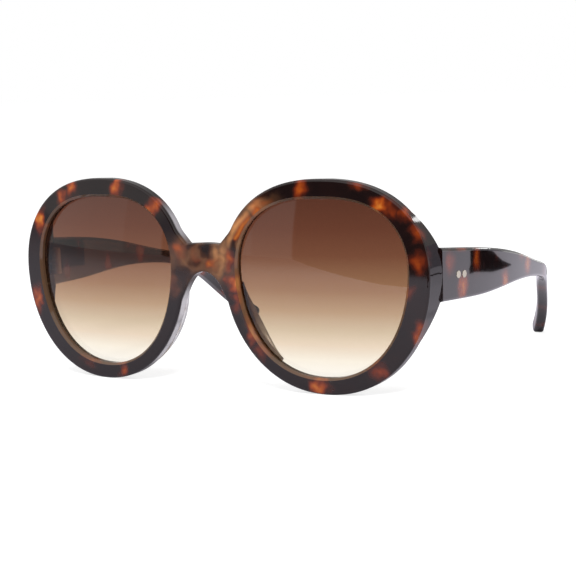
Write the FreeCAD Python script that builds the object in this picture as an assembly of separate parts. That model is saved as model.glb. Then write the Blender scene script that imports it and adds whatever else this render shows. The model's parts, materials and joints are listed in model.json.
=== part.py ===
import FreeCAD, Part
import math
import os

# Oversized acetate sunglasses, in millimetres, standing open on a table.
# +Z is up, the front faces -Y and the temples run back along +Y. Left is the wearer's left, at +X.
# Pieces are drawn about the middle of the bridge, at the height of the eye centres, and are moved
# together at the end, so that the origin is on the table under the middle of the glasses.

# Eye openings
EYE_HALF_WIDTH = 26.8
EYE_HALF_HEIGHT = 26.85
EYE_GAP = 24.4
WRAP_ANGLE = 5.8
EYE_POWER = 2.2
EYE_SHAPE_SHARES = (0.041, -0.004, -0.007)

# Rims, bridge and endpieces
RIM_WIDTH_TEMPLE = 6.5
RIM_WIDTH_NOSE = 4.9
RIM_WIDTH_TOP = 5.4
RIM_WIDTH_BOTTOM = 5.1
RIM_THICKNESS = 4.2
RIM_POWER = 2.15
RIM_SHAPE_SHARES = (0.027, -0.008, 0.0)
FRONT_EDGE_RADIUS = 0.8
BACK_EDGE_RADIUS = 0.5
EYE_CHAMFER = 0.8
BRIDGE_BOTTOM = 3.2
BRIDGE_HEIGHT = 8.8
BRIDGE_HALF_WIDTH = 5.9
BRIDGE_CROWN = 0.3
BRIDGE_CORNER_RADIUS = 0.8
BRIDGE_FLARE_ANGLE = 138.0
BRIDGE_FLARE_RADIUS = 10.0
ARCH_FOOT_ANGLE = 195.0
ARCH_RADIUS = 4.0
ARCH_SHARES = ((0.0, 0.0), (0.26, 0.06), (0.48, 0.22), (0.63, 0.41), (0.79, 0.67), (1.0, 1.0))
ENDPIECE_DEPTH = 9.4
ENDPIECE_FLARE = 13.0

# Lenses
LENS_RADIUS = 130.0
LENS_THICKNESS = 1.8
LENS_SET_BACK = 2.6
BEVEL_DEPTH = 0.8
BEVEL_HALF_WIDTH = 0.7

# Nose pads
PAD_DEPTH = 4.6
PAD_LEAN = 1.9
PAD_BULGE = 0.7
PAD_START_ANGLE = 180.0
PAD_END_ANGLE = 236.0
PAD_SWELL_POWER = 0.8
PAD_END_SHARE = 0.25
PAD_SIDE_SHARE = 0.25
PAD_FLANK_SHARE = 0.5
PAD_SHOULDER_SHARE = 0.8
PAD_ROUND_SHARE = 0.67

# Temples
TEMPLE_HEIGHT = 16.0
TEMPLE_THICKNESS = 4.0
TEMPLE_RAISE = 2.6
TEMPLE_LENGTH = 115.0
TEMPLE_BOW = 5.1
TEMPLE_SPLAY = 10.0
TEMPLE_EDGE_RADIUS = 0.9
TIP_HEIGHT = 4.4
TIP_THICKNESS = 3.5
TIP_INSET = 10.2
JOINT_GAP = 0.12
CORE_HEIGHT = 1.8
CORE_THICKNESS = 1.0
CORE_START = 16.5
CORE_END = 101.5

# Stations along a temple, as shares of its length, and its form at each of them
STATION_SHARES = (0.0, 0.22, 0.44, 0.61, 0.70, 0.76, 0.81, 0.873, 0.934, 1.0)
DROP_SHARES = (0.0, 0.045, 0.098, 0.186, 0.247, 0.320, 0.427, 0.607, 0.798, 1.0)
DEPTH_SHARES = (1.0, 0.82, 0.37, 0.07, 0.02, 0.0, 0.0, 0.0, 0.0, 0.0)
BOW_SHARES = (0.0, 0.80, 1.0, 0.79, 0.55, 0.18, 0.0, 0.0, 0.0, 0.0)
INSET_SHARES = (0.0, 0.0, 0.0, 0.0, 0.0, 0.0, 0.108, 0.343, 0.618, 1.0)

# Hinges
KNUCKLE_RADIUS = 1.45
KNUCKLE_HEIGHT = 1.5
KNUCKLE_GAP = 0.1
KNUCKLE_CLEARANCE = 0.2
KNUCKLES = 5
SCREW_RADIUS = 0.7
SCREW_RUNNING_CLEARANCE = 0.04
SCREW_HEAD_RADIUS = 1.2
SCREW_HEAD_HEIGHT = 0.7
SCREW_SLOT_WIDTH = 0.3
SCREW_SLOT_DEPTH = 0.35
SCREW_TAIL = 0.2
LEAF_THICKNESS = 1.1
LEAF_SINK = 2.2
LEAF_LENGTH = 14.0
LEAF_SETBACK = 1.1
ANCHOR_WIDTH = 2.0
ANCHOR_DEPTH = 2.2
RIVET_RADIUS = 1.1
RIVET_PROUD = 0.12
RIVET_HEAD_RADIUS = 1.5
RIVET_HEAD_HEIGHT = 0.35
RIVET_FIRST = 9.1
RIVET_SPACING = 3.2

# Points on a rounded outline, sections of a nose pad, and how far a cut runs past what it cuts
OUTLINE_POINTS = 36
PAD_SECTIONS = 7
OVERRUN = 5.0

# Where an edge is looked at, and how near to a domed face it then has to be to lie on it
LOOK_SHARES = (0.0, 0.3, 0.7, 1.0)
ON_FACE = 0.01

Vector = FreeCAD.Vector
X_AXIS = Vector(1, 0, 0)
Y_AXIS = Vector(0, 1, 0)
Z_AXIS = Vector(0, 0, 1)

# Places worked out from the driving dimensions
eye_centre = EYE_GAP / 2 + EYE_HALF_WIDTH
front_radius = eye_centre / math.sin(math.radians(WRAP_ANGLE))
front_centre = Vector(0, front_radius, 0)
back_radius = front_radius - RIM_THICKNESS
eye_turn = FreeCAD.Rotation(Z_AXIS, WRAP_ANGLE)
eye_middle = front_centre - eye_turn.multVec(Y_AXIS) * front_radius
eye_place = FreeCAD.Placement(eye_middle, eye_turn)
eye_edge = front_radius - math.sqrt(front_radius**2 - EYE_HALF_WIDTH**2)
groove_depth = eye_edge + LENS_SET_BACK
rim_half_width = EYE_HALF_WIDTH + (RIM_WIDTH_TEMPLE + RIM_WIDTH_NOSE) / 2
rim_half_height = EYE_HALF_HEIGHT + (RIM_WIDTH_TOP + RIM_WIDTH_BOTTOM) / 2
rim_middle = Vector((RIM_WIDTH_TEMPLE - RIM_WIDTH_NOSE) / 2, 0, (RIM_WIDTH_TOP - RIM_WIDTH_BOTTOM) / 2)
side_x = eye_centre + EYE_HALF_WIDTH + RIM_WIDTH_TEMPLE
side_y = front_radius - math.sqrt(front_radius**2 - side_x**2)
joint_y = side_y + ENDPIECE_DEPTH
front_end = joint_y - JOINT_GAP
knuckle_stack = KNUCKLES * KNUCKLE_HEIGHT + (KNUCKLES - 1) * KNUCKLE_GAP
knuckle_base = TEMPLE_RAISE - knuckle_stack / 2
axis_x = side_x - TEMPLE_THICKNESS - KNUCKLE_RADIUS - KNUCKLE_CLEARANCE
hinge_place = FreeCAD.Placement(Vector(axis_x, joint_y, knuckle_base), FreeCAD.Rotation())
leaf_place = FreeCAD.Placement(hinge_place.Base, FreeCAD.Rotation(Z_AXIS, -TEMPLE_SPLAY))
wall_offset = KNUCKLE_RADIUS + KNUCKLE_CLEARANCE
leaf_offset = wall_offset + LEAF_SINK - LEAF_THICKNESS
rim_low = rim_half_height * (1 + RIM_SHAPE_SHARES[0]) - (RIM_WIDTH_TOP - RIM_WIDTH_BOTTOM) / 2


def outline_radius(angle, half_width, half_height, power, shape_shares):
    """Distance from the middle of a rounded, slightly tapered eye shape to its edge."""
    taper, skew, square = shape_shares
    across = abs(math.cos(angle) / half_width) ** power
    along = abs(math.sin(angle) / half_height) ** power
    swell = taper * math.sin(3 * angle) + skew * math.sin(2 * angle) + square * math.cos(4 * angle)
    return (across + along) ** (-1 / power) * (1 + swell)


def eye_radius(angle):
    return outline_radius(angle, EYE_HALF_WIDTH, EYE_HALF_HEIGHT, EYE_POWER, EYE_SHAPE_SHARES)


def rim_radius(angle):
    return outline_radius(angle, rim_half_width, rim_half_height, RIM_POWER, RIM_SHAPE_SHARES)


def closed_curve(points):
    """One smooth closed wire through the points."""
    curve = Part.BSplineCurve()
    curve.interpolate(Points=points, PeriodicFlag=True)
    return Part.Wire([curve.toShape()])


def open_curve(points, tangents=None):
    """One smooth edge through the points, with the directions at its two ends if they are given."""
    curve = Part.BSplineCurve()
    if tangents:
        curve.interpolate(Points=points, InitialTangent=tangents[0], FinalTangent=tangents[1])
    else:
        curve.interpolate(Points=points)
    return curve.toShape()


def angles():
    return [2 * math.pi * i / OUTLINE_POINTS for i in range(OUTLINE_POINTS)]


def eye_wire(depth, offset):
    """Outline of the eye opening at a depth behind the front, in the eye's own turned frame."""
    points = []
    for angle in angles():
        radius = eye_radius(angle) + offset
        points.append(Vector(radius * math.cos(angle), depth, radius * math.sin(angle)))
    return closed_curve(points)


def rim_point(angle, inset):
    """A point of the left rim's outer outline, drawn in by an inset, as seen from the front."""
    radius = rim_radius(angle) - inset
    across = (rim_middle.x + radius * math.cos(angle)) * math.cos(math.radians(WRAP_ANGLE))
    return Vector(eye_centre + across, 0, rim_middle.z + radius * math.sin(angle))


def rim_prism(inset, end):
    """The left rim's outer outline, drawn in by an inset, run from before the front to an end."""
    wire = closed_curve([rim_point(angle, inset) for angle in angles()])
    wire.translate(Y_AXIS * -OVERRUN)
    return Part.Face(wire).extrude(Y_AXIS * (OVERRUN + end))


def mirrored(shape):
    return shape.mirror(Vector(0, 0, 0), X_AXIS)


def bridge_prism():
    """The bridge: crowned on top, flared into the rims' upper sides and arched over the nose."""
    top = BRIDGE_BOTTOM + BRIDGE_HEIGHT
    flare = rim_point(math.radians(BRIDGE_FLARE_ANGLE), RIM_WIDTH_NOSE / 4)
    inside = rim_point(math.pi, RIM_WIDTH_NOSE / 2)
    foot = rim_point(math.radians(ARCH_FOOT_ANGLE), RIM_WIDTH_NOSE / 8)
    arch = []
    for width_share, drop_share in ARCH_SHARES:
        arch.append(Vector(foot.x * width_share, 0, BRIDGE_BOTTOM - (BRIDGE_BOTTOM - foot.z) * drop_share))
    corner = Vector(BRIDGE_HALF_WIDTH, 0, top - BRIDGE_CROWN)
    right_row = [corner, flare, inside, arch[-1]]
    left_row = [Vector(-point.x, 0, point.z) for point in right_row]
    underside = [Vector(-point.x, 0, point.z) for point in arch[:0:-1]] + arch
    edges = [
        Part.Arc(left_row[0], Vector(0, 0, top), right_row[0]).toShape(),
        Part.makePolygon(right_row),
        open_curve(underside[::-1]),
        Part.makePolygon(left_row[::-1]),
    ]
    pieces = [edge for shape in edges for edge in shape.Edges]
    face = Part.Face(Part.Wire(pieces))
    face.translate(Y_AXIS * -OVERRUN)
    return face.extrude(Y_AXIS * (OVERRUN + front_end))


def corner_edges(blank, lowest, highest):
    """The edges that run front to back beside the bridge, between two heights."""
    found = []
    for edge in blank.Edges:
        along = edge.Vertexes[-1].Point - edge.Vertexes[0].Point
        centre = edge.CenterOfMass
        if abs(along.y) > OVERRUN and abs(centre.x) < eye_centre / 2 and lowest < centre.z < highest:
            found.append(edge)
    return found


def front_blank():
    """Both rims and the bridge in one outline, with the corners where they meet rounded."""
    rim = rim_prism(0, front_end)
    top = BRIDGE_BOTTOM + BRIDGE_HEIGHT
    blank = rim.fuse([mirrored(rim), bridge_prism()]).removeSplitter()
    blank = blank.makeFillet(BRIDGE_CORNER_RADIUS, corner_edges(blank, BRIDGE_BOTTOM, top))
    blank = blank.makeFillet(BRIDGE_FLARE_RADIUS, corner_edges(blank, top, rim_half_height))
    return blank.makeFillet(ARCH_RADIUS, corner_edges(blank, -rim_half_height, BRIDGE_BOTTOM))


def edges_on_sphere(shape, radius):
    """The edges that lie all along on a sphere about the front's centre."""
    found = []
    for edge in shape.Edges:
        first, last = edge.ParameterRange
        points = [edge.valueAt(first + (last - first) * share) for share in LOOK_SHARES]
        if all(abs(point.distanceToPoint(front_centre) - radius) < ON_FACE for point in points):
            found.append(edge)
    return found


def endpiece_room():
    """What is left standing for the left endpiece: the rim's outer wall, narrowed to the temple."""
    half = TEMPLE_HEIGHT / 2
    upper, lower = [], []
    start = side_y + RIM_THICKNESS / 2
    for depth, flare in ((start, ENDPIECE_FLARE), (front_end, 0), (front_end + OVERRUN, 0)):
        upper.append(Vector(eye_centre, depth, TEMPLE_RAISE + half + flare))
        lower.append(Vector(eye_centre, depth, TEMPLE_RAISE - half - flare))
    wedge = Part.Face(Part.makePolygon(upper + lower[::-1] + upper[:1]))
    block = wedge.extrude(X_AXIS * (side_x - eye_centre + OVERRUN))
    return block.cut(rim_prism(TEMPLE_THICKNESS, front_end + 2 * OVERRUN))


def front_shell():
    """The domed front with its endpieces and its outer edges rounded, before the eyes are cut."""
    outline = front_blank()
    shell = outline.common(Part.makeSphere(front_radius, front_centre))
    shell = shell.makeFillet(FRONT_EDGE_RADIUS, edges_on_sphere(shell, front_radius))
    room = endpiece_room()
    hollow = Part.makeSphere(back_radius, front_centre).cut([room, mirrored(room)])
    shell = shell.cut(hollow)
    rounded = []
    for edge in edges_on_sphere(shell, back_radius):
        middle = edge.valueAt(sum(edge.ParameterRange) / 2)
        if outline.Shells[0].distToShape(Part.Vertex(middle))[0] < ON_FACE:
            rounded.append(edge)
    return shell.makeFillet(BACK_EDGE_RADIUS, rounded)


def loft(wires):
    return Part.makeLoft(wires, True, True)


def eye_cut():
    """What is cut from the left rim for its lens: the opening, its front chamfer and the groove."""
    opening = loft([eye_wire(-OVERRUN, 0), eye_wire(joint_y, 0)])
    chamfer = loft([
        eye_wire(eye_edge - OVERRUN, EYE_CHAMFER + OVERRUN),
        eye_wire(eye_edge + EYE_CHAMFER, 0),
    ])
    groove = loft([
        eye_wire(groove_depth - BEVEL_HALF_WIDTH, 0),
        eye_wire(groove_depth, BEVEL_DEPTH),
        eye_wire(groove_depth + BEVEL_HALF_WIDTH, 0),
    ])
    cut = opening.fuse([chamfer, groove])
    cut.Placement = eye_place
    return cut


def lens():
    """The left lens: a domed shell whose edge has a bevel that fills the rim's groove."""
    blank = loft([
        eye_wire(-OVERRUN, 0),
        eye_wire(groove_depth - BEVEL_HALF_WIDTH, 0),
        eye_wire(groove_depth, BEVEL_DEPTH),
        eye_wire(groove_depth + BEVEL_HALF_WIDTH, 0),
        eye_wire(joint_y, 0),
    ])
    depth = groove_depth - LENS_THICKNESS / 2 + math.sqrt(LENS_RADIUS**2 - EYE_HALF_WIDTH**2)
    middle = Vector(0, depth, 0)
    dome = blank.common(Part.makeSphere(LENS_RADIUS, middle))
    dome = dome.cut(Part.makeSphere(LENS_RADIUS - LENS_THICKNESS, middle))
    dome.Placement = eye_place
    return dome


def pad_section(share):
    """One closed section of the left nose pad, at a share of the way down the rim."""
    angle = math.radians(PAD_START_ANGLE + (PAD_END_ANGLE - PAD_START_ANGLE) * share)
    swell = PAD_END_SHARE + (1 - PAD_END_SHARE) * math.sin(math.pi * share) ** PAD_SWELL_POWER
    outer = rim_point(angle, 0)
    inner = rim_point(angle, RIM_WIDTH_NOSE)
    nose = (outer - inner).normalize()
    base = front_radius - math.sqrt(back_radius**2 - outer.x**2 - outer.z**2)
    sunk = base - RIM_THICKNESS / 2
    depth = PAD_DEPTH * swell
    lean = PAD_LEAN * swell
    outer_foot = outer - nose * BACK_EDGE_RADIUS
    inner_foot = inner + nose * BACK_EDGE_RADIUS
    middle = (outer + inner) / 2 - nose * lean
    points = [
        outer_foot + Y_AXIS * sunk,
        outer_foot + nose * PAD_BULGE * swell + Y_AXIS * (base + depth * PAD_SIDE_SHARE),
        middle + (outer - middle) * PAD_ROUND_SHARE + Y_AXIS * (base + depth * PAD_SHOULDER_SHARE),
        middle + Y_AXIS * (base + depth),
        inner_foot - nose * lean * PAD_FLANK_SHARE + Y_AXIS * (base + depth * PAD_FLANK_SHARE),
        inner_foot + Y_AXIS * sunk,
    ]
    return Part.Wire([open_curve(points), Part.LineSegment(points[-1], points[0]).toShape()])


def nose_pad():
    """The left nose pad, leaning away from the nose, seated on the back of the rim."""
    sections = [pad_section(i / (PAD_SECTIONS - 1)) for i in range(PAD_SECTIONS)]
    pad = Part.makeLoft(sections, True, False)
    return pad.common(Part.makeSphere(back_radius, front_centre))


def shared_curve(points):
    """A smooth curve whose parameter is the share of the temple's length."""
    curve = Part.BSplineCurve()
    curve.interpolate(Points=points, Parameters=STATION_SHARES)
    return curve


def side_line():
    """The temple's middle line, seen from the side: it slopes a little, bends and drops to the table."""
    drop = TEMPLE_RAISE + rim_low - TIP_HEIGHT / 2
    points = []
    for station_share, drop_share in zip(STATION_SHARES, DROP_SHARES):
        points.append(Vector(0, joint_y + TEMPLE_LENGTH * station_share, TEMPLE_RAISE - drop * drop_share))
    return shared_curve(points)


def plan_line():
    """The temple's outer face, seen from above: it bows out and then comes in to the tip."""
    points = []
    for station_share, bow_share, inset_share in zip(STATION_SHARES, BOW_SHARES, INSET_SHARES):
        out = TEMPLE_BOW * bow_share - TIP_INSET * inset_share
        points.append(Vector(side_x + out, joint_y + TEMPLE_LENGTH * station_share, 0))
    return shared_curve(points)


def side_prism(upper, lower):
    """A side outline between an upper and a lower row of points, with a round far end."""
    out = (upper[-1] - lower[-1]).cross(X_AXIS) / 2
    end = (upper[-1] + lower[-1]) / 2 + out
    edges = [
        open_curve(upper, (upper[1] - upper[0], out)),
        Part.Arc(upper[-1], end, lower[-1]).toShape(),
        open_curve(lower[::-1], (-out, lower[0] - lower[1])),
        Part.LineSegment(lower[0], upper[0]).toShape(),
    ]
    face = Part.Face(Part.Wire(edges))
    face.translate(X_AXIS * eye_centre)
    return face.extrude(X_AXIS * (side_x - eye_centre + TEMPLE_BOW + OVERRUN))


def plan_prism(outer_share, inner_share, outer_offset):
    """A band of the temple's thickness, seen from above, run past both of its ends."""
    line = plan_line()
    outer, inner = [], []
    for share in STATION_SHARES:
        along = line.tangent(share)[0]
        out = along.cross(Z_AXIS)
        thickness = TEMPLE_THICKNESS + (TIP_THICKNESS - TEMPLE_THICKNESS) * share
        outer.append(line.value(share) + out * (outer_offset - thickness * outer_share))
        inner.append(line.value(share) - out * thickness * inner_share)
    first, last = line.tangent(0)[0], line.tangent(1)[0]
    past = TIP_HEIGHT + TIP_THICKNESS + OVERRUN
    outer = [outer[0] - first * OVERRUN] + outer + [outer[-1] + last * past]
    inner = [inner[0] - first * OVERRUN] + inner + [inner[-1] + last * past]
    edges = [
        open_curve(outer),
        Part.LineSegment(outer[-1], inner[-1]).toShape(),
        open_curve(inner[::-1]),
        Part.LineSegment(inner[0], outer[0]).toShape(),
    ]
    face = Part.Face(Part.Wire(edges))
    face.translate(Z_AXIS * -(rim_low + OVERRUN))
    return face.extrude(Z_AXIS * (rim_low + OVERRUN + TEMPLE_RAISE + TEMPLE_HEIGHT))


def side_rows(shares, half_height):
    """Upper and lower rows of points about the temple's middle line."""
    line = side_line()
    upper, lower = [], []
    for share in shares:
        up = X_AXIS.cross(line.tangent(share)[0])
        upper.append(line.value(share) + up * half_height(share))
        lower.append(line.value(share) - up * half_height(share))
    return upper, lower


def temple_half_height(share):
    """Half the temple's height at one of its stations."""
    depth_share = DEPTH_SHARES[STATION_SHARES.index(share)]
    return (TIP_HEIGHT + (TEMPLE_HEIGHT - TIP_HEIGHT) * depth_share) / 2


def temple_blank():
    """The left temple with its edges rounded, before the metal is let in."""
    upper, lower = side_rows(STATION_SHARES, temple_half_height)
    upper[0].y = joint_y
    lower[0].y = joint_y
    blank = side_prism(upper, lower).common(plan_prism(0, 1, 0))
    rounded = [edge for edge in blank.Edges if edge.BoundBox.YLength > TIP_HEIGHT / 2]
    return blank.makeFillet(TEMPLE_EDGE_RADIUS, rounded)


def temple_core():
    """The metal strip inside the left temple, along its middle."""
    count = len(STATION_SHARES)
    first, last = CORE_START / TEMPLE_LENGTH, CORE_END / TEMPLE_LENGTH
    shares = [first + (last - first) * i / (count - 1) for i in range(count)]
    upper, lower = side_rows(shares, lambda share: CORE_HEIGHT / 2)
    edge_share = (1 - CORE_THICKNESS / TEMPLE_THICKNESS) / 2
    return side_prism(upper, lower).common(plan_prism(edge_share, 1 - edge_share, 0))


def knuckle(index, hole_radius):
    """One knuckle of a hinge, in the hinge's own frame: its axis is Z and its foot is at zero."""
    foot = Vector(0, 0, index * (KNUCKLE_HEIGHT + KNUCKLE_GAP))
    barrel = Part.makeCylinder(KNUCKLE_RADIUS, KNUCKLE_HEIGHT, foot)
    return barrel, Part.makeCylinder(hole_radius, KNUCKLE_HEIGHT, foot)


def front_hinge():
    """The left front half of a hinge: three knuckles with arms to an anchor in the endpiece."""
    back = KNUCKLE_RADIUS - LEAF_THICKNESS
    corner = Vector(wall_offset, -back - ANCHOR_DEPTH, 0)
    anchor = Part.makeBox(ANCHOR_WIDTH, ANCHOR_DEPTH, knuckle_stack, corner)
    pieces, holes = [], []
    for index in range(0, KNUCKLES, 2):
        barrel, hole = knuckle(index, SCREW_RADIUS)
        corner = Vector(0, -KNUCKLE_RADIUS, index * (KNUCKLE_HEIGHT + KNUCKLE_GAP))
        arm = Part.makeBox(wall_offset + ANCHOR_WIDTH, LEAF_THICKNESS, KNUCKLE_HEIGHT, corner)
        pieces += [barrel, arm]
        holes.append(hole)
    half = anchor.fuse(pieces).cut(holes).removeSplitter()
    half.Placement = hinge_place
    return half


def temple_hinge():
    """The left temple half of a hinge: two knuckles with arms to a plate inside the temple."""
    corner = Vector(leaf_offset, LEAF_SETBACK, 0)
    plate = Part.makeBox(LEAF_THICKNESS, LEAF_LENGTH, knuckle_stack, corner)
    plate.rotate(Vector(0, 0, 0), Z_AXIS, -TEMPLE_SPLAY)
    pieces, holes = [], []
    for index in range(1, KNUCKLES, 2):
        barrel, hole = knuckle(index, SCREW_RADIUS + SCREW_RUNNING_CLEARANCE)
        corner = Vector(0, KNUCKLE_RADIUS - LEAF_THICKNESS, index * (KNUCKLE_HEIGHT + KNUCKLE_GAP))
        arm = Part.makeBox(leaf_offset + LEAF_THICKNESS, LEAF_THICKNESS, KNUCKLE_HEIGHT, corner)
        pieces += [barrel, arm]
        holes.append(hole)
    half = plate.fuse(pieces).cut(holes).removeSplitter()
    half.Placement = hinge_place
    return half


def hinge_screw():
    """The left hinge's pin: a screw whose slotted head rests on the top knuckle."""
    tail = Vector(0, 0, -SCREW_TAIL)
    top = Vector(0, 0, knuckle_stack)
    shank = Part.makeCylinder(SCREW_RADIUS, knuckle_stack + SCREW_TAIL, tail)
    head = Part.makeCylinder(SCREW_HEAD_RADIUS, SCREW_HEAD_HEIGHT, top)
    floor = knuckle_stack + SCREW_HEAD_HEIGHT - SCREW_SLOT_DEPTH
    corner = Vector(-SCREW_HEAD_RADIUS, -SCREW_SLOT_WIDTH / 2, floor)
    slot = Part.makeBox(2 * SCREW_HEAD_RADIUS, SCREW_SLOT_WIDTH, SCREW_SLOT_DEPTH, corner)
    screw = shank.fuse(head).cut(slot).removeSplitter()
    screw.Placement = hinge_place
    return screw


def hinge_pocket():
    """The room that the left hinge's knuckles and screw head turn in."""
    tall = knuckle_stack + SCREW_TAIL + SCREW_HEAD_HEIGHT + 2 * KNUCKLE_CLEARANCE
    pocket = Part.makeCylinder(wall_offset, tall, Vector(0, 0, -SCREW_TAIL - KNUCKLE_CLEARANCE))
    pocket.Placement = hinge_place
    return pocket


def rivet(index):
    """A rivet from the hinge plate through the left temple, with its end proud of the outer face."""
    along = RIVET_FIRST + index * RIVET_SPACING
    rise = side_line().value(along / TEMPLE_LENGTH).z - knuckle_base
    foot = Vector(leaf_offset, along, rise)
    shank = Part.makeCylinder(RIVET_RADIUS, TEMPLE_THICKNESS + OVERRUN, foot, X_AXIS)
    heel = foot - X_AXIS * RIVET_HEAD_HEIGHT
    head = Part.makeCylinder(RIVET_HEAD_RADIUS, RIVET_HEAD_HEIGHT, heel, X_AXIS)
    pin = shank.fuse(head).removeSplitter()
    pin.Placement = leaf_place
    return pin.common(plan_prism(0, 2, RIVET_PROUD))


def front_frame(hinge):
    """The whole front: rims, bridge and endpieces, with both eyes and both hinge seats cut."""
    tools = [eye_cut(), hinge_pocket(), hinge]
    return front_shell().cut(tools + [mirrored(tool) for tool in tools])


def left_side():
    """Every piece of the left side, and what the front needs from it, by node name."""
    half = temple_hinge()
    core = temple_core()
    pins = [rivet(0), rivet(1)]
    pieces = {
        "lens": lens(),
        "nose_pad": nose_pad(),
        "front_hinge": front_hinge(),
        "hinge_screw": hinge_screw(),
        "temple": temple_blank().cut([hinge_pocket(), half, core] + pins),
        "temple_core": core,
        "temple_hinge": half.cut(pins),
        "front_rivet": pins[0],
        "rear_rivet": pins[1],
    }
    return pieces


def assembly():
    """All pieces by node name, in one frame with its origin on the table under the middle."""
    side = left_side()
    pieces = {"front_frame": front_frame(side["front_hinge"])}
    for name, shape in side.items():
        pieces["left_" + name] = shape
        pieces["right_" + name] = mirrored(shape)
    box = Part.makeCompound(list(pieces.values())).optimalBoundingBox(False, False)
    to_table = Vector(0, -box.Center.y, -box.ZMin)
    for name in pieces:
        pieces[name] = pieces[name].translated(to_table)
    place = hinge_place.Base + to_table
    print("left hinge axis at x %.3f y %.3f, eye centres at z %.3f" % (place.x, place.y, to_table.z))
    return pieces


os.makedirs("parts", exist_ok=True)
for node, shape in assembly().items():
    shape.exportStep("parts/" + node + ".step")
    print(node, len(shape.Solids), shape.isValid(), round(shape.Volume, 2))
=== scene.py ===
import json
import math

import bpy
from mathutils import Matrix, Vector


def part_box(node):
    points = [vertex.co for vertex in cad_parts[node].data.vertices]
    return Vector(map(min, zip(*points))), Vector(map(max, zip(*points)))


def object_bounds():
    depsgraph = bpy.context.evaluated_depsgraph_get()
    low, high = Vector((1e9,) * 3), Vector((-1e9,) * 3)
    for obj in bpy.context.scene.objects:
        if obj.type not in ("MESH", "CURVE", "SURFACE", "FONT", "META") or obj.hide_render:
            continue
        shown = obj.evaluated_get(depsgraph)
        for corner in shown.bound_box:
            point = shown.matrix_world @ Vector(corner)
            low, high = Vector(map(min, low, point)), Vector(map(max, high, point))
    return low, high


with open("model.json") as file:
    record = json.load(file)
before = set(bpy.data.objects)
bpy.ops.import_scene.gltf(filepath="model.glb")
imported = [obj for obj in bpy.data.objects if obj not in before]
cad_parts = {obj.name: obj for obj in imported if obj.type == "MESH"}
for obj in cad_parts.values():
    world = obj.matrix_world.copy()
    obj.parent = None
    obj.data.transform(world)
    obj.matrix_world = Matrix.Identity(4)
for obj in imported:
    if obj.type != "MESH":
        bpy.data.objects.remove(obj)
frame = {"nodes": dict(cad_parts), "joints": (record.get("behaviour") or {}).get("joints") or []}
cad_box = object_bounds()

# Lengths are in metres, unless a comment says millimetres. Places on the part are counted from the middle
# of the bridge at the height of the eye centres, which is found from the left hinge.
MM = 0.001
left_fold = next(joint for joint in frame["joints"] if joint["name"] == "left_temple_fold")
HINGE = Vector(left_fold["pos_m"])
EYE_TO_HINGE = Vector((0.0, 14.255 * MM, 2.6 * MM))
ORIGIN = Vector((0.0, HINGE.y, HINGE.z)) - EYE_TO_HINGE

# Camera, as fitted to the photo
CAMERA_AZIMUTH = math.radians(29.0)
CAMERA_ELEVATION = math.radians(7.62)
CAMERA_ROLL = math.radians(1.76)
CAMERA_DISTANCE = 497.671 * MM
CAMERA_TARGET = Vector((0.0, 30.0 * MM, 0.0))
CAMERA_SLIDE = (10.451 * MM, -6.21 * MM)
CLIP_START = 0.01
FOCAL_PIXELS = 1542.408
IMAGE_PIXELS = 576
SENSOR_MM = 36.0

# The domed front in millimetres: middle of an eye across from the bridge, radius of the dome, and how far
# the dome lies before the counting point
EYE_CENTRE = 39.0
FRONT_RADIUS = 386.0
BRIDGE_DEPTH = 1.98
# How deep a patch on the front reaches, and how far a patch on a temple reaches across, in millimetres
PATCH_DEPTH = 6.0
WIDE = 1000.0
# A patch or streak has faded out at this many of its half sizes
PATCH_EDGE = 1.4

# Tortoiseshell tones, from the dark ground through red to the amber heart of a patch
TORTOISE_RAMP = (
    (0.00, (0.0080, 0.0036, 0.0036)),
    (0.22, (0.0130, 0.0048, 0.0042)),
    (0.42, (0.0560, 0.0095, 0.0048)),
    (0.60, (0.1700, 0.0240, 0.0055)),
    (0.80, (0.3600, 0.0660, 0.0080)),
    (1.00, (0.6000, 0.1900, 0.0260)),
)
# Clear horn-like tones by the bridge, from brown to beige
HORN_RAMP = (
    (0.00, (0.0120, 0.0050, 0.0038)),
    (0.30, (0.0600, 0.0200, 0.0085)),
    (0.60, (0.2000, 0.0880, 0.0420)),
    (1.00, (0.6400, 0.2800, 0.1050)),
)
# Pale tones of the nose pads on the side to the nose: a painted reflection of the white surroundings
PAD_REFLECTION_RAMP = ((0.30, (0.820, 0.790, 0.820)), (0.70, (0.940, 0.920, 0.960)))
# Brown tones of the nose pads on the other sides
BROWN_RAMP = ((0.30, (0.150, 0.060, 0.040)), (0.70, (0.330, 0.170, 0.110)))
# Clear tones of those sides at their lower ends, and the heights between which they set in, in millimetres
CLEAR_RAMP = ((0.30, (0.660, 0.540, 0.440)), (0.70, (0.860, 0.760, 0.660)))
PAD_CLEARING = (-9.0, -15.0)
# Brown tint of the lenses, from the lowest to the highest point of a lens
LENS_TINT = (
    (0.00, (0.980, 0.950, 0.880)),
    (0.11, (0.930, 0.850, 0.720)),
    (0.19, (0.780, 0.640, 0.487)),
    (0.27, (0.620, 0.488, 0.339)),
    (0.38, (0.455, 0.298, 0.179)),
    (0.49, (0.319, 0.168, 0.090)),
    (0.68, (0.184, 0.071, 0.038)),
    (0.82, (0.138, 0.047, 0.026)),
    (1.00, (0.102, 0.034, 0.020)),
)

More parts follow.
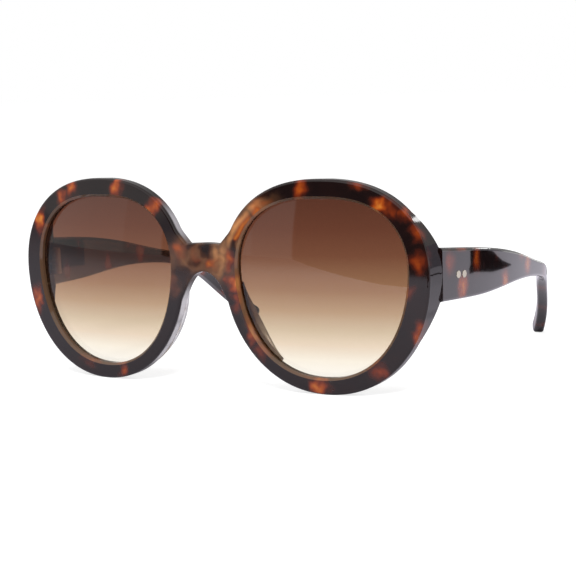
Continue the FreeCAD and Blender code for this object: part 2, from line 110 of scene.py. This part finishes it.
# Patches on the front: across, up, half width and half height in millimetres, and strength
FRONT_PATCHES = (
    (-66.0, 17.8, 3.4, 5.0, 1.05), (-55.2, 25.5, 3.2, 4.2, 0.62), (-51.6, 28.2, 2.8, 4.2, 0.70),
    (-32.2, 28.9, 2.9, 5.0, 0.72), (-17.7, 23.0, 4.6, 3.2, 0.74), (-68.2, -9.1, 2.8, 7.8, 0.70),
    (-33.1, -29.1, 2.6, 4.6, 0.70), (-46.6, -28.5, 5.0, 3.8, 0.46), (-8.6, 9.7, 3.6, 4.2, 0.60),
    (-10.9, -0.3, 2.8, 4.8, 0.46), (33.0, 29.1, 3.2, 4.4, 0.76), (51.0, 29.6, 4.8, 2.4, 0.58),
    (57.5, 23.7, 3.6, 3.4, 0.96), (60.1, 21.8, 4.8, 4.0, 0.50), (69.5, 16.3, 3.6, 4.4, 0.64),
    (68.9, 7.1, 3.8, 4.2, 0.64), (68.9, -15.1, 3.4, 6.0, 0.84), (56.3, -25.2, 4.2, 3.8, 0.62),
    (37.6, -30.9, 4.2, 3.8, 0.84), (11.0, 0.2, 3.0, 3.8, 0.78), (9.4, 7.1, 2.6, 4.6, 0.72),
    (16.5, -14.2, 2.0, 6.6, 0.64), (11.4, -5.9, 2.6, 5.4, 0.54), (66.7, -1.7, 2.6, 3.4, 0.44),
    (19.6, -20.9, 3.2, 4.0, 0.48), (66.2, 21.6, 5.0, 3.2, 0.68), (14.0, 17.4, 2.8, 5.0, 0.76),
    (19.0, 22.8, 3.6, 3.2, 0.70),
)
# Clear places on the front, and dark, amber and gold spots in them, in the same way
CLEAR_PATCHES = (
    (0.0, 7.0, 13.0, 8.0, 1.0), (13.0, 15.0, 5.0, 9.0, 0.9), (20.0, 23.5, 7.0, 4.0, 0.7),
    (16.0, -3.0, 4.0, 10.0, 0.7), (-12.0, 4.0, 5.0, 8.0, 0.6),
)
DARK_SPOTS = (
    (1.9, 10.4, 2.6, 3.0, 0.75), (-4.6, 11.2, 2.2, 2.0, 0.45), (-7.5, 3.0, 3.0, 4.0, 0.35),
    (11.5, -4.5, 2.6, 2.6, 0.40),
)
AMBER_SPOTS = (
    (3.0, 6.0, 3.0, 2.2, 0.62), (9.4, 7.1, 2.4, 4.4, 0.60), (11.2, 0.4, 2.6, 3.4, 0.70),
    (-8.4, 9.6, 3.2, 3.0, 0.50), (-2.4, 8.0, 2.4, 2.2, 0.34), (15.4, -10.0, 1.8, 6.0, 0.60),
)
GOLD_SPOTS = ((-6.4, 6.2, 2.2, 2.6, 0.20), (6.6, 6.0, 2.4, 5.0, 0.26))
# Streaks in the clear places: the path of each, across and up, and its half width in millimetres, and its
# strength
GOLD_STREAKS = (
    (((7.7, 10.2), (9.5, 13.2), (12.2, 17.2), (15.5, 20.8), (17.4, 22.3)), 1.6, 0.50),
    (((16.4, 17.6), (19.8, 21.4)), 1.0, 0.34),
    (((4.6, 7.4), (4.6, 9.6)), 1.5, 0.26),
)
AMBER_STREAKS = (
    (((12.0, 14.0), (14.2, 17.1), (16.9, 19.9), (19.4, 22.0)), 1.3, 0.66),
    (((21.5, 24.2), (24.5, 25.0)), 1.4, 0.45),
)
DARK_STREAKS = (
    (((11.4, 12.8), (10.7, 8.4), (9.6, 5.0)), 0.9, 0.46),
    (((-4.2, 5.8), (-2.2, 5.8)), 1.7, 0.26),
    (((19.4, 26.2), (23.0, 26.8)), 1.2, 0.40),
)
# Places on the walls by the nose with a pale painted reflection of the white surroundings, listed like the
# patches, for the left side, and its tone
NOSE_REFLECTION_PATCHES = (
    (11.0, 17.6, 7.0, 8.0, 0.46), (9.0, -8.0, 5.0, 9.0, 1.3), (13.0, -18.0, 6.0, 9.0, 1.3),
    (18.0, -23.5, 7.0, 7.0, 1.3),
)
NOSE_REFLECTION_TONE = (0.900, 0.860, 0.920)
# Places on the edges of the pads by the nose with the same pale painted reflection
PAD_EDGE_REFLECTION_PATCHES = ((8.0, -6.0, 3.4, 6.0, 1.5), (9.8, -13.0, 3.4, 6.0, 1.5), (13.0, -19.5, 3.6, 5.0, 1.5))
# Patches on a temple: back from the bridge, up, half length and half height in millimetres, and strength
TEMPLE_PATCHES = (
    (18.5, 6.0, 3.8, 5.6, 0.54), (32.8, 6.3, 2.8, 7.0, 0.60), (24.2, -1.8, 3.6, 5.8, 0.96),
    (52.0, -3.0, 3.8, 5.2, 0.78), (72.5, -0.8, 4.8, 5.6, 0.92), (66.0, 2.6, 4.4, 3.0, 0.68),
    (24.6, 9.6, 4.8, 1.8, 0.66), (45.8, 5.0, 2.4, 3.8, 0.30), (91.8, -6.0, 3.4, 4.8, 0.60),
    (105.8, -12.0, 3.2, 4.6, 0.60), (116.8, -21.0, 3.2, 4.0, 0.54), (124.8, -28.0, 2.8, 3.8, 0.56),
)

# Noise in the materials: its middle, and a scale per millimetre and a detail for each use
NOISE_MIDDLE = 0.5
WANDER_NOISE = (0.22, 1.5)
SMOKE_NOISE = (0.11, 4.0)
GRAIN_NOISE = (0.9, 5.0)
BAND_NOISE = (0.34, 2.0)
PAD_NOISE = (0.3, 4.0)
METAL_NOISE = (2.0, 4.0)
# Width in millimetres of the range in which patches on the front and on a temple, and streaks, wander
FRONT_WANDER = 6.0
TEMPLE_WANDER = 3.0
STREAK_WANDER = 1.6
# Smoke and grain in the acetate: the level of no smoke, and the strengths
SMOKE_LEVEL = 0.42
SMOKE_STRENGTH = 0.6
GRAIN_STRENGTH = 0.12
# Bands that break up the patches: their stretch, and the noise values and strengths between which they run
BAND_STRETCH = (1.0, 1.0, 0.45)
BAND_VALUES = (0.25, 0.62)
BAND_STRENGTHS = (0.80, 1.06)
# Horn by the bridge: its tone, the share of smoke in it, the tone of amber and how soon that takes over
HORN_TONE = 0.48
HORN_SMOKE = 1.8
AMBER_TONE = 0.25
AMBER_SHARE = 1.3
# Painted highlight on the walls round the eyes: the facing between which it sets in, its lift on the ramps,
# and the share and tone of the paler brown it paints
EYE_FACING = (0.3, 0.65)
EYE_HIGHLIGHT_LIFT = 0.30
EYE_HIGHLIGHT_SHARE = 0.55
EYE_HIGHLIGHT_TONE = (0.150, 0.095, 0.055)
# Walls by the nose: the facing between which they set in, and the depths in millimetres between which a
# wall sets in behind the rounded edge
NOSE_FACING = (0.0, -0.35)
WALL_DEPTHS = (0.7, 1.8)
# Acetate: refraction, roughness on the part and on the pads, mirror level on the face, in clear places and
# on the walls, and how strong a clear place is where that level starts and stops falling
ACETATE_IOR = 1.49
ACETATE_ROUGHNESS = 0.06
PAD_ROUGHNESS = 0.08
FACE_GLOSS = 0.5
CLEAR_GLOSS = 0.2
WALL_GLOSS = 0.4
CLEAR_LEVELS = (0.2, 1.0)
# Coat of the temples, and the places back from the bridge between which it sets in, in millimetres
COAT_IOR = 1.80
COAT_PLACES = (125.0, 100.0)
# Refraction of the lenses
LENS_IOR = 1.5
# Metals: their colours and roughnesses, and the stretch and darkest shade of their brushing
NICKEL = (0.66, 0.62, 0.55)
NICKEL_ROUGHNESS = 0.32
GOLD = (0.96, 0.90, 0.72)
GOLD_ROUGHNESS = 0.14
METAL_STRETCH = (1.0, 1.0, 9.0)
METAL_SHADE = 0.72

# Floor: the corners of a pale table, whose front edge runs between the part and the camera
FLOOR_CORNERS = (
    (0.070, -0.341), (0.105, -0.303), (2.685, 1.115), (4.0, 8.0), (-8.0, 8.0),
    (-8.0, -8.34), (-3.807, -8.34), (-0.307, -1.075), (-0.030, -0.529),
)
# Its tone in the light, in reflections and through the lenses, and its glow as seen and through the lenses
FLOOR_LIT = (0.45, 0.45, 0.45)
FLOOR_MIRRORED = (0.68, 0.65, 0.73)
FLOOR_THROUGH_LENS = (0.12, 0.12, 0.12)
FLOOR_GLOW_SEEN = 0.735
FLOOR_GLOW_THROUGH_LENS = 0.95

# World: strength of the soft light, and windows that reflections show darker than white. A window has two
# azimuths in degrees from the front, two heights of the direction, a softness and the share of white that
# it takes away.
SOFT_LIGHT = 0.60
WHITE = (1.0, 1.0, 1.0, 1.0)
WINDOWS = {
    "dark_front": (-24.0, 75.0, -1.1, 0.42, 0.03, 0.95),
    "grey_back": (110.0, 250.0, 0.12, 1.1, 0.05, 0.60),
    "pale_side": (-110.0, -24.0, -1.1, 0.5, 0.03, 0.28),
    "pale_near": (-38.0, -24.0, -1.1, 0.5, 0.03, 0.42),
}

# Lamps: their distance, and for each its name, azimuth and elevation in degrees, width, height, power, and
# whether reflections show it
LAMP_DISTANCE = 0.9
LAMPS = (
    ("key", 30.0, 40.0, 0.20, 0.12, 5.0, False),
    ("fill", -59.0, 65.0, 0.14, 0.14, 3.0, False),
    ("spark", -59.0, 65.0, 0.06, 0.03, 0.015, True),
    ("rim", 165.0, 20.5, 0.12, 0.06, 0.13, True),
)

# Dark flags behind the part, seen only in reflections: a shade, and stations with their low and high ends
BLACK = (0.010, 0.010, 0.012, 1.0)
GREY = (0.280, 0.270, 0.320, 1.0)
FLAGS = {
    "low_flag": (BLACK, (
        (0.2465, 0.171, 0.0, 0.016), (0.243, 0.182, 0.0, 0.0135), (0.228, 0.194, 0.0, 0.012),
        (0.213, 0.204, 0.0, 0.0095), (0.199, 0.2225, 0.0, 0.0040), (0.184, 0.245, 0.0, 0.0004),
    )),
    "raised_flag": (GREY, ((0.245, 0.185, 0.018, 0.087), (0.183, 0.236, 0.018, 0.087))),
    "back_flag": (BLACK, ((-0.070, 0.225, 0.0, 0.090), (0.034, 0.225, 0.0, 0.090))),
}
FLAG_HIDDEN_FROM = ("camera", "diffuse", "transmission", "shadow", "volume_scatter")

# The colour sockets of Blender's mix node, and factors that flatten a place or a direction
MIX_COLOUR_INPUTS = (6, 7)
MIX_COLOUR_OUTPUT = 2
ACROSS_AND_UP = (1.0, 0.0, 1.0)
LEVEL = (1.0, 1.0, 0.0)


class Nodes:
    """Short ways to add nodes to one tree."""

    def __init__(self, tree):
        self.tree = tree

    def add(self, kind, **values):
        node = self.tree.nodes.new(kind)
        for key, value in values.items():
            setattr(node, key, value)
        return node

    def put(self, socket, value):
        """Link the socket to another socket, or give it a number, vector or colour."""
        if isinstance(value, bpy.types.NodeSocket):
            self.tree.links.new(value, socket)
        else:
            socket.default_value = value

    def math(self, operation, first, second=0.0, clamp=False):
        node = self.add("ShaderNodeMath", operation=operation, use_clamp=clamp)
        self.put(node.inputs[0], first)
        self.put(node.inputs[1], second)
        return node.outputs[0]

    def vector(self, operation, first, second=None, scale=None):
        node = self.add("ShaderNodeVectorMath", operation=operation)
        self.put(node.inputs[0], first)
        if second is not None:
            self.put(node.inputs[1], second)
        if scale is not None:
            self.put(node.inputs["Scale"], scale)
        return node.outputs["Value"] if operation in ("LENGTH", "DOT_PRODUCT") else node.outputs["Vector"]

    def split(self, vector):
        """The X, Y and Z of a vector, by name."""
        node = self.add("ShaderNodeSeparateXYZ")
        self.put(node.inputs[0], vector)
        return node.outputs

    def join(self, x=0.0, y=0.0, z=0.0):
        node = self.add("ShaderNodeCombineXYZ")
        for name, value in (("X", x), ("Y", y), ("Z", z)):
            self.put(node.inputs[name], value)
        return node.outputs[0]

    def smooth(self, value, low, high, from_value=0.0, to_value=1.0):
        """A soft step from one value to another while the input goes from low to high."""
        node = self.add("ShaderNodeMapRange", interpolation_type="SMOOTHSTEP")
        self.put(node.inputs["Value"], value)
        node.inputs["From Min"].default_value = low
        node.inputs["From Max"].default_value = high
        node.inputs["To Min"].default_value = from_value
        node.inputs["To Max"].default_value = to_value
        return node.outputs["Result"]

    def ramp(self, value, stops):
        """The colour at a value between stops, each a place and a colour."""
        node = self.add("ShaderNodeValToRGB")
        points = node.color_ramp.elements
        while len(points) < len(stops):
            points.new(0.5)
        for point, (place, colour) in zip(points, stops):
            point.position = place
            point.color = (*colour, 1.0)
        self.put(node.inputs["Fac"], value)
        return node.outputs["Color"]

    def noise(self, vector, scale, detail, output="Fac"):
        node = self.add("ShaderNodeTexNoise")
        self.put(node.inputs["Vector"], vector)
        node.inputs["Scale"].default_value = scale
        node.inputs["Detail"].default_value = detail
        return node.outputs[output]

    def mix(self, factor, first, second):
        """The first colour, going over to the second as the factor rises to one."""
        node = self.add("ShaderNodeMix", data_type="RGBA")
        self.put(node.inputs["Factor"], factor)
        for index, value in zip(MIX_COLOUR_INPUTS, (first, second)):
            colour = value if isinstance(value, bpy.types.NodeSocket) else (*value, 1.0)
            self.put(node.inputs[index], colour)
        return node.outputs[MIX_COLOUR_OUTPUT]

    def principled(self, **values):
        """The tree's surface, with values for its sockets by name."""
        shader = self.add("ShaderNodeBsdfPrincipled")
        for key, value in values.items():
            self.put(shader.inputs[key.replace("_", " ")], value)
        out = self.add("ShaderNodeOutputMaterial")
        self.put(out.inputs["Surface"], shader.outputs[0])


def material(name):
    """An empty material and its nodes."""
    made = bpy.data.materials.new(name)
    made.use_nodes = True
    made.node_tree.nodes.clear()
    return made, Nodes(made.node_tree)


def add_to_scene(obj):
    bpy.context.scene.collection.objects.link(obj)


# Places and fields on the part, all counted in millimetres


def part_millimetres(nodes):
    """Place on the part in millimetres, counted from the bridge."""
    place = nodes.add("ShaderNodeTexCoord").outputs["Object"]
    return nodes.vector("SCALE", nodes.vector("SUBTRACT", place, ORIGIN), scale=1.0 / MM)


def wandered(nodes, place, reach):
    """The place, moved about a little so that the edges of patches wander."""
    wander = nodes.noise(place, *WANDER_NOISE, output="Color")
    wander = nodes.vector("SUBTRACT", wander, (NOISE_MIDDLE, NOISE_MIDDLE, NOISE_MIDDLE))
    return nodes.vector("ADD", place, nodes.vector("SCALE", wander, scale=reach))


def front_depth(nodes, place):
    """The place with its depth behind the domed front face in Y."""
    flat = nodes.vector("MULTIPLY", place, ACROSS_AND_UP)
    sag = nodes.math("DIVIDE", nodes.vector("DOT_PRODUCT", flat, flat), 2.0 * FRONT_RADIUS)
    return nodes.vector("SUBTRACT", place, nodes.join(y=nodes.math("SUBTRACT", sag, BRIDGE_DEPTH)))


def patch_field(nodes, place, patches, on_temple=False):
    """How strongly each place lies in one of the patches."""
    total = 0.0
    for along, up, half_length, half_height, strength in patches:
        centre = (along, 0.0, up)
        size = (half_length, PATCH_DEPTH, half_height)
        if on_temple:
            centre = (0.0, along, up)
            size = (WIDE, half_length, half_height)
        offset = nodes.vector("SUBTRACT", place, centre)
        reach = nodes.vector("LENGTH", nodes.vector("DIVIDE", offset, size))
        total = nodes.math("MAXIMUM", total, nodes.smooth(reach, PATCH_EDGE, 0.0, 0.0, strength))
    return total


def streak_field(nodes, place, streaks):
    """How strongly each place on the front lies along one of the streaks."""
    flat = nodes.vector("MULTIPLY", place, ACROSS_AND_UP)
    total = 0.0
    for path, half_width, strength in streaks:
        edge = PATCH_EDGE * half_width
        for (across, up), (next_across, next_up) in zip(path, path[1:]):
            run = Vector((next_across - across, 0.0, next_up - up))
            offset = nodes.vector("SUBTRACT", flat, (across, 0.0, up))
            share = nodes.vector("DOT_PRODUCT", offset, run / run.length_squared)
            along = nodes.vector("SCALE", run, scale=nodes.math("ADD", share, 0.0, clamp=True))
            reach = nodes.vector("LENGTH", nodes.vector("SUBTRACT", offset, along))
            total = nodes.math("MAXIMUM", total, nodes.smooth(reach, edge, 0.0, 0.0, strength))
    return total


def mark_field(nodes, moved, calm, spots, streaks):
    """How strongly a place on the front lies in a loose spot or along a streak."""
    return nodes.math("MAXIMUM", patch_field(nodes, moved, spots), streak_field(nodes, calm, streaks))


def eye_facing(nodes, place):
    """One on the walls of the eye openings, which face the middle of their eye."""
    normal = nodes.add("ShaderNodeNewGeometry").outputs["Normal"]
    flip = nodes.join(x=nodes.math("SIGN", nodes.split(place)["X"]), z=1.0)
    inward = nodes.vector("SUBTRACT", (EYE_CENTRE, 0.0, 0.0), nodes.vector("MULTIPLY", place, flip))
    inward = nodes.vector("NORMALIZE", inward)
    facing = nodes.vector("DOT_PRODUCT", nodes.vector("MULTIPLY", normal, flip), inward)
    return nodes.smooth(facing, *EYE_FACING)


def nose_facing(nodes, place):
    """One on the surfaces that face the nose, on either side, and the place as if on the left side."""
    normal = nodes.split(nodes.add("ShaderNodeNewGeometry").outputs["Normal"])
    parts = nodes.split(place)
    outward = nodes.math("MULTIPLY", normal["X"], nodes.math("SIGN", parts["X"]))
    left_place = nodes.join(nodes.math("ABSOLUTE", parts["X"]), parts["Y"], parts["Z"])
    return nodes.smooth(outward, *NOSE_FACING), left_place


# Acetate


def smoke_field(nodes, place):
    """Soft clouds in the acetate."""
    cloud = nodes.noise(place, *SMOKE_NOISE)
    return nodes.math("MULTIPLY", nodes.math("SUBTRACT", cloud, SMOKE_LEVEL), SMOKE_STRENGTH)


def tortoise_value(nodes, place, patches, smoke):
    """Where a place lies on the tortoiseshell ramp: patches broken up by bands, smoke and a fine grain."""
    band = nodes.noise(nodes.vector("MULTIPLY", place, BAND_STRETCH), *BAND_NOISE)
    broken = nodes.math("MULTIPLY", patches, nodes.smooth(band, *BAND_VALUES, *BAND_STRENGTHS))
    grain = nodes.math("SUBTRACT", nodes.noise(place, *GRAIN_NOISE), NOISE_MIDDLE)
    grain = nodes.math("MULTIPLY", grain, GRAIN_STRENGTH)
    return nodes.math("ADD", nodes.math("ADD", broken, smoke), grain)


def horn_colour(nodes, moved, calm, smoke, highlight_lift):
    """Clear horn by the bridge, with dark, gold and amber marks in it, lifted on its ramp by the painted
    highlight of the walls round the eyes.
    """
    dark = mark_field(nodes, moved, calm, DARK_SPOTS, DARK_STREAKS)
    gold = mark_field(nodes, moved, calm, GOLD_SPOTS, GOLD_STREAKS)
    amber = mark_field(nodes, moved, calm, AMBER_SPOTS, AMBER_STREAKS)
    tone = nodes.math("ADD", HORN_TONE, nodes.math("MULTIPLY", smoke, HORN_SMOKE))
    tone = nodes.math("ADD", nodes.math("SUBTRACT", tone, dark), gold)
    horn = nodes.ramp(nodes.math("ADD", tone, highlight_lift), HORN_RAMP)
    warm = nodes.ramp(nodes.math("ADD", AMBER_TONE, amber), TORTOISE_RAMP)
    return nodes.mix(nodes.math("MULTIPLY", amber, AMBER_SHARE, clamp=True), horn, warm)


def nose_reflection_field(nodes, place, depth):
    """How strongly the pale painted reflection covers the walls by the nose, behind the rounded edge of the
    front.
    """
    inner, left_place = nose_facing(nodes, place)
    nose_reflection = nodes.math("MULTIPLY", patch_field(nodes, left_place, NOSE_REFLECTION_PATCHES), inner)
    return nodes.math("MULTIPLY", nose_reflection, nodes.smooth(depth, *WALL_DEPTHS))


def front_gloss(nodes, clear, depth):
    """Mirror level of the front, which is lower in the clear places and on the walls."""
    face = nodes.smooth(clear, *CLEAR_LEVELS, FACE_GLOSS, CLEAR_GLOSS)
    wall = nodes.smooth(depth, *WALL_DEPTHS, FACE_GLOSS, WALL_GLOSS)
    return nodes.math("MINIMUM", face, wall)


def front_acetate():
    """Polished tortoiseshell, clear by the bridge, with a painted highlight that makes the walls round the
    eyes paler and a painted reflection that makes the walls by the nose pale.
    """
    made, nodes = material("front_acetate")
    place = part_millimetres(nodes)
    domed = front_depth(nodes, place)
    depth = nodes.split(domed)["Y"]
    moved = wandered(nodes, domed, FRONT_WANDER)
    calm = wandered(nodes, domed, STREAK_WANDER)
    smoke = smoke_field(nodes, place)
    eye_highlight = eye_facing(nodes, place)
    # Painted highlight: the walls round the eyes are lifted on the ramps, as if they were catching light
    highlight_lift = nodes.math("MULTIPLY", eye_highlight, EYE_HIGHLIGHT_LIFT)
    value = tortoise_value(nodes, place, patch_field(nodes, moved, FRONT_PATCHES), smoke)
    colour = nodes.ramp(nodes.math("ADD", value, highlight_lift), TORTOISE_RAMP)
    clear = patch_field(nodes, moved, CLEAR_PATCHES)
    colour = nodes.mix(clear, colour, horn_colour(nodes, moved, calm, smoke, highlight_lift))
    # Painted highlight: the walls round the eyes are mixed towards a paler brown
    colour = nodes.mix(nodes.math("MULTIPLY", eye_highlight, EYE_HIGHLIGHT_SHARE), colour, EYE_HIGHLIGHT_TONE)
    # Painted reflection: the walls by the nose turn pale where they face the nose, standing in for the
    # white surroundings mirrored there
    colour = nodes.mix(nose_reflection_field(nodes, place, depth), colour, NOSE_REFLECTION_TONE)
    gloss = front_gloss(nodes, clear, depth)
    nodes.principled(
        Base_Color=colour, Roughness=ACETATE_ROUGHNESS, IOR=ACETATE_IOR, Specular_IOR_Level=gloss
    )
    return made


def temple_acetate():
    """Polished tortoiseshell with a coat that fades out towards the tip."""
    made, nodes = material("temple_acetate")
    place = part_millimetres(nodes)
    moved = wandered(nodes, place, TEMPLE_WANDER)
    patches = patch_field(nodes, moved, TEMPLE_PATCHES, on_temple=True)
    value = tortoise_value(nodes, place, patches, smoke_field(nodes, place))
    colour = nodes.ramp(value, TORTOISE_RAMP)
    coat = nodes.smooth(nodes.split(place)["Y"], *COAT_PLACES)
    nodes.principled(
        Base_Color=colour, Roughness=ACETATE_ROUGHNESS, IOR=ACETATE_IOR, Coat_Weight=coat, Coat_IOR=COAT_IOR
    )
    return made


def pad_acetate():
    """Acetate from a clear part of the sheet: brown above, clear below, with a pale painted reflection on
    the side to the nose.
    """
    made, nodes = material("pad_acetate")
    place = part_millimetres(nodes)
    cloud = nodes.noise(place, *PAD_NOISE)
    # Painted reflection: the sides and edges of the pads that face the nose get pale tones that stand in
    # for the white surroundings mirrored there
    inner, left_place = nose_facing(nodes, place)
    edge = patch_field(nodes, left_place, PAD_EDGE_REFLECTION_PATCHES)
    inner = nodes.math("MAXIMUM", inner, edge, clamp=True)
    lower = nodes.smooth(nodes.split(place)["Z"], *PAD_CLEARING)
    side = nodes.mix(lower, nodes.ramp(cloud, BROWN_RAMP), nodes.ramp(cloud, CLEAR_RAMP))
    # Painted reflection: pale tones over the nose-facing sides and edges
    colour = nodes.mix(inner, side, nodes.ramp(cloud, PAD_REFLECTION_RAMP))
    nodes.principled(Base_Color=colour, Roughness=PAD_ROUGHNESS, IOR=ACETATE_IOR)
    return made


# Lenses and metal


def lens_glass(name, node):
    """Brown tint that fades from the brow to almost clear at the cheek."""
    low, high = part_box(node)
    made, nodes = material(name)
    place = nodes.split(nodes.add("ShaderNodeTexCoord").outputs["Object"])
    share = nodes.math("DIVIDE", nodes.math("SUBTRACT", place["Z"], low[2]), high[2] - low[2])
    colour = nodes.ramp(share, LENS_TINT)
    nodes.principled(Base_Color=colour, Roughness=0.0, IOR=LENS_IOR, Transmission_Weight=1.0)
    return made


def metal(name, colour, roughness):
    """Brushed metal, in places a little darker than its colour."""
    made, nodes = material(name)
    stretched = nodes.vector("MULTIPLY", part_millimetres(nodes), METAL_STRETCH)
    dark = tuple(METAL_SHADE * channel for channel in colour)
    shade = nodes.mix(nodes.noise(stretched, *METAL_NOISE), dark, colour)
    nodes.principled(Base_Color=shade, Metallic=1.0, Roughness=roughness)
    return made


def dress_part():
    """Give every piece of the part its material."""
    front = front_acetate()
    temple = temple_acetate()
    pad = pad_acetate()
    nickel = metal("nickel_silver", NICKEL, NICKEL_ROUGHNESS)
    gold = metal("pale_gold", GOLD, GOLD_ROUGHNESS)
    for name, obj in frame["nodes"].items():
        made = nickel
        if name == "front_frame":
            made = front
        elif name.endswith("nose_pad"):
            made = pad
        elif name.endswith("_temple"):
            made = temple
        elif name.endswith("lens"):
            made = lens_glass(name + "_tint", name)
        elif name.endswith("rivet"):
            made = gold
        obj.data.materials.clear()
        obj.data.materials.append(made)


# Camera, floor, world, lamps and flags


def direction_to(azimuth, elevation):
    """A direction from the part, by its azimuth from the front and its elevation, in radians."""
    level = math.cos(elevation)
    return Vector((math.sin(azimuth) * level, -math.cos(azimuth) * level, math.sin(elevation)))


def make_camera():
    """The camera at the photo's view of the part."""
    back = direction_to(CAMERA_AZIMUTH, CAMERA_ELEVATION)
    level = Vector((math.cos(CAMERA_AZIMUTH), math.sin(CAMERA_AZIMUTH), 0.0))
    upright = back.cross(level)
    eye = ORIGIN + CAMERA_TARGET
    eye = eye + level * CAMERA_SLIDE[0] + upright * CAMERA_SLIDE[1] + back * CAMERA_DISTANCE
    across = level * math.cos(CAMERA_ROLL) - upright * math.sin(CAMERA_ROLL)
    over = level * math.sin(CAMERA_ROLL) + upright * math.cos(CAMERA_ROLL)
    data = bpy.data.cameras.new("camera")
    data.lens = FOCAL_PIXELS * SENSOR_MM / IMAGE_PIXELS
    data.sensor_width = SENSOR_MM
    data.clip_start = CLIP_START
    camera = bpy.data.objects.new("camera", data)
    turn = Matrix((across, over, back)).transposed().to_4x4()
    camera.matrix_world = Matrix.Translation(eye) @ turn
    add_to_scene(camera)
    bpy.context.scene.camera = camera


def floor_surface():
    """Plain pale surface that glows a little where it is seen."""
    made, nodes = material("pale_floor")
    path = nodes.add("ShaderNodeLightPath").outputs
    shade = nodes.mix(path["Is Glossy Ray"], FLOOR_LIT, FLOOR_MIRRORED)
    diffuse = nodes.add("ShaderNodeBsdfDiffuse")
    nodes.put(diffuse.inputs["Color"], nodes.mix(path["Is Transmission Ray"], shade, FLOOR_THROUGH_LENS))
    seen = nodes.math("MULTIPLY", path["Is Camera Ray"], FLOOR_GLOW_SEEN)
    through = nodes.math("MULTIPLY", path["Is Transmission Ray"], FLOOR_GLOW_THROUGH_LENS)
    glow = nodes.add("ShaderNodeEmission")
    nodes.put(glow.inputs["Strength"], nodes.math("ADD", seen, through))
    both = nodes.add("ShaderNodeAddShader")
    nodes.put(both.inputs[0], diffuse.outputs[0])
    nodes.put(both.inputs[1], glow.outputs[0])
    out = nodes.add("ShaderNodeOutputMaterial")
    nodes.put(out.inputs["Surface"], both.outputs[0])
    return made


def make_floor():
    """The table, at the height of the part's lowest point."""
    corners = [(x, y, cad_box[0][2]) for x, y in FLOOR_CORNERS]
    mesh = bpy.data.meshes.new("floor")
    mesh.from_pydata(corners, [], [tuple(range(len(corners)))])
    mesh.materials.append(floor_surface())
    floor = bpy.data.objects.new("floor", mesh)
    add_to_scene(floor)


def window(nodes, direction, azimuth_low, azimuth_high, low, high, soft):
    """One in the directions between two azimuths and two heights, falling off softly."""
    middle = math.radians((azimuth_low + azimuth_high) / 2)
    half = math.radians((azimuth_high - azimuth_low) / 2)
    flat = nodes.vector("NORMALIZE", nodes.vector("MULTIPLY", direction, LEVEL))
    facing = nodes.vector("DOT_PRODUCT", flat, (math.sin(middle), -math.cos(middle), 0.0))
    height = nodes.split(direction)["Z"]
    inside = nodes.smooth(nodes.math("ARCCOSINE", facing), half + soft, half)
    inside = nodes.math("MULTIPLY", inside, nodes.smooth(height, low - soft, low))
    return nodes.math("MULTIPLY", inside, nodes.smooth(height, high + soft, high))


def white_light(nodes, strength):
    node = nodes.add("ShaderNodeBackground")
    node.inputs["Color"].default_value = WHITE
    nodes.put(node.inputs["Strength"], strength)
    return node.outputs[0]


def make_world():
    """White wherever it is seen, but for the windows in reflections, and soft light on the rest."""
    world = bpy.data.worlds.new("studio")
    world.use_nodes = True
    world.node_tree.nodes.clear()
    nodes = Nodes(world.node_tree)
    path = nodes.add("ShaderNodeLightPath").outputs
    direction = nodes.add("ShaderNodeTexCoord").outputs["Generated"]
    dark = 0.0
    for *limits, share in WINDOWS.values():
        taken = nodes.math("MULTIPLY", window(nodes, direction, *limits), share)
        dark = nodes.math("MAXIMUM", dark, taken)
    white = nodes.math("SUBTRACT", 1.0, nodes.math("MULTIPLY", dark, path["Is Glossy Ray"]))
    seen = nodes.math("MAXIMUM", path["Is Camera Ray"], path["Is Glossy Ray"])
    seen = nodes.math("MAXIMUM", seen, path["Is Transmission Ray"])
    choose = nodes.add("ShaderNodeMixShader")
    nodes.put(choose.inputs[0], seen)
    nodes.put(choose.inputs[1], white_light(nodes, SOFT_LIGHT))
    nodes.put(choose.inputs[2], white_light(nodes, white))
    out = nodes.add("ShaderNodeOutputWorld")
    nodes.put(out.inputs["Surface"], choose.outputs[0])
    bpy.context.scene.world = world


def make_lamp(name, azimuth, elevation, width, height, power, mirrored):
    """A soft lamp one lamp distance from the part, seen only in reflections or not at all."""
    data = bpy.data.lights.new(name, "AREA")
    data.shape = "RECTANGLE"
    data.size = width
    data.size_y = height
    data.energy = power
    lamp = bpy.data.objects.new(name, data)
    toward = direction_to(math.radians(azimuth), math.radians(elevation))
    turn = toward.to_track_quat("Z", "Y").to_matrix().to_4x4()
    lamp.matrix_world = Matrix.Translation(ORIGIN + toward * LAMP_DISTANCE) @ turn
    lamp.visible_camera = False
    lamp.visible_transmission = False
    lamp.visible_glossy = mirrored
    add_to_scene(lamp)


def make_flag(name, shade, stations):
    """An upright strip through the stations that only reflections show."""
    made, nodes = material(name)
    nodes.principled(Base_Color=shade, Roughness=1.0, Specular_IOR_Level=0.0)
    points = [(x, y, low) for x, y, low, high in stations] + [(x, y, high) for x, y, low, high in stations]
    count = len(stations)
    faces = [(i, i + 1, count + i + 1, count + i) for i in range(count - 1)]
    mesh = bpy.data.meshes.new(name)
    mesh.from_pydata(points, [], faces)
    mesh.materials.append(made)
    obj = bpy.data.objects.new(name, mesh)
    add_to_scene(obj)
    for ray in FLAG_HIDDEN_FROM:
        setattr(obj, "visible_" + ray, False)


dress_part()
make_camera()
make_floor()
make_world()
for lamp_values in LAMPS:
    make_lamp(*lamp_values)
for flag_name, (flag_shade, flag_stations) in FLAGS.items():
    make_flag(flag_name, flag_shade, flag_stations)
bpy.context.scene.view_settings.view_transform = "Standard"
